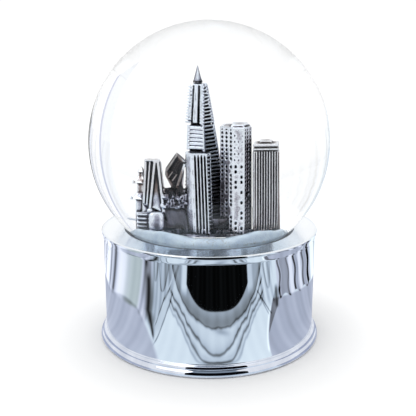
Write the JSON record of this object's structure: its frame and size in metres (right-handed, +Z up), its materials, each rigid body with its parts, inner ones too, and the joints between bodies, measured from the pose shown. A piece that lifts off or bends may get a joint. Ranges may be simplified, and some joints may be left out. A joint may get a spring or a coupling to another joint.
{
  "type": "snow globe",
  "caption": "Water ball with a silver city skyline inside, standing on a chrome drum that holds a wind-up musical movement.",
  "frame": {"origin": "centre of the circle on which the drum's bottom rim rests", "axes": "+Z up through the ball, the skyline's front faces -Y, the movement's cylinder lies along +X"},
  "size_m": [0.1, 0.1, 0.1331],
  "materials": {
    "chrome_shell": "polished",
    "clear_glass": "polished",
    "water": "gloss",
    "silver_casting": "satin",
    "white_resin": "satin",
    "snow_flakes": "satin",
    "black_rubber": "matte",
    "grey_plastic": "matte",
    "black_plastic": "matte",
    "die_cast_zinc": "satin",
    "steel": "satin",
    "spring_steel": "satin",
    "brass": "satin",
    "white_nylon": "satin"
  },
  "bodies": {
    "globe": {"base_shell": "chrome_shell", "glass_globe": "clear_glass", "water": "water", "skyline_figurine": "silver_casting", "figurine_plinth": "white_resin", "snow_bed": "snow_flakes", "rubber_stopper": "black_rubber", "globe_seal": "black_rubber", "globe_seat": "grey_plastic", "bottom_plate": "black_plastic", "movement_bedplate": "die_cast_zinc", "governor_frame": "die_cast_zinc", "barrel_bridge": "steel", "comb": "steel", "governor_screw": "steel", "bridge_screw_1": "steel", "bridge_screw_2": "steel", "comb_screw_1": "steel", "comb_screw_2": "steel", "movement_screw_1": "steel", "movement_screw_2": "steel", "movement_screw_3": "steel", "plate_screw_1": "steel", "plate_screw_2": "steel", "plate_screw_3": "steel"},
    "key": {"winding_key": "steel", "winding_arbor": "steel"},
    "barrel": {"spring_barrel": "brass", "mainspring": "spring_steel"},
    "cylinder": {"pinned_cylinder": "brass", "cylinder_shaft": "steel", "cylinder_pinion": "brass", "cylinder_wheel": "brass"},
    "governor": {"governor_wheel": "white_nylon"},
    "fan": {"governor_fan": "white_nylon"}
  },
  "joints": [
    {"name": "key_turn", "type": "hinge", "parent": "globe", "child": "key", "pos_m": [0, 0, 0.0055], "axis": [0, 0, 1], "continuous": true},
    {"name": "barrel_turn", "type": "hinge", "parent": "globe", "child": "barrel", "pos_m": [0, 0, 0.018], "axis": [0, 0, 1], "continuous": true},
    {"name": "cylinder_turn", "type": "hinge", "parent": "globe", "child": "cylinder", "pos_m": [0.025, 0, 0.02535], "axis": [1, 0, 0], "continuous": true},
    {"name": "governor_turn", "type": "hinge", "parent": "globe", "child": "governor", "pos_m": [0.0365, -0.0074, 0.02138], "axis": [1, 0, 0], "continuous": true},
    {"name": "fan_turn", "type": "hinge", "parent": "globe", "child": "fan", "pos_m": [0.0365, -0.01114, 0.0267], "axis": [0, 0, 1], "continuous": true}
  ],
  "couplings": [
    {"joint": "cylinder_turn", "follows": "barrel_turn", "ratio": 4.8},
    {"joint": "governor_turn", "follows": "barrel_turn", "ratio": -14.4},
    {"joint": "fan_turn", "follows": "barrel_turn", "ratio": -86.4}
  ]
}
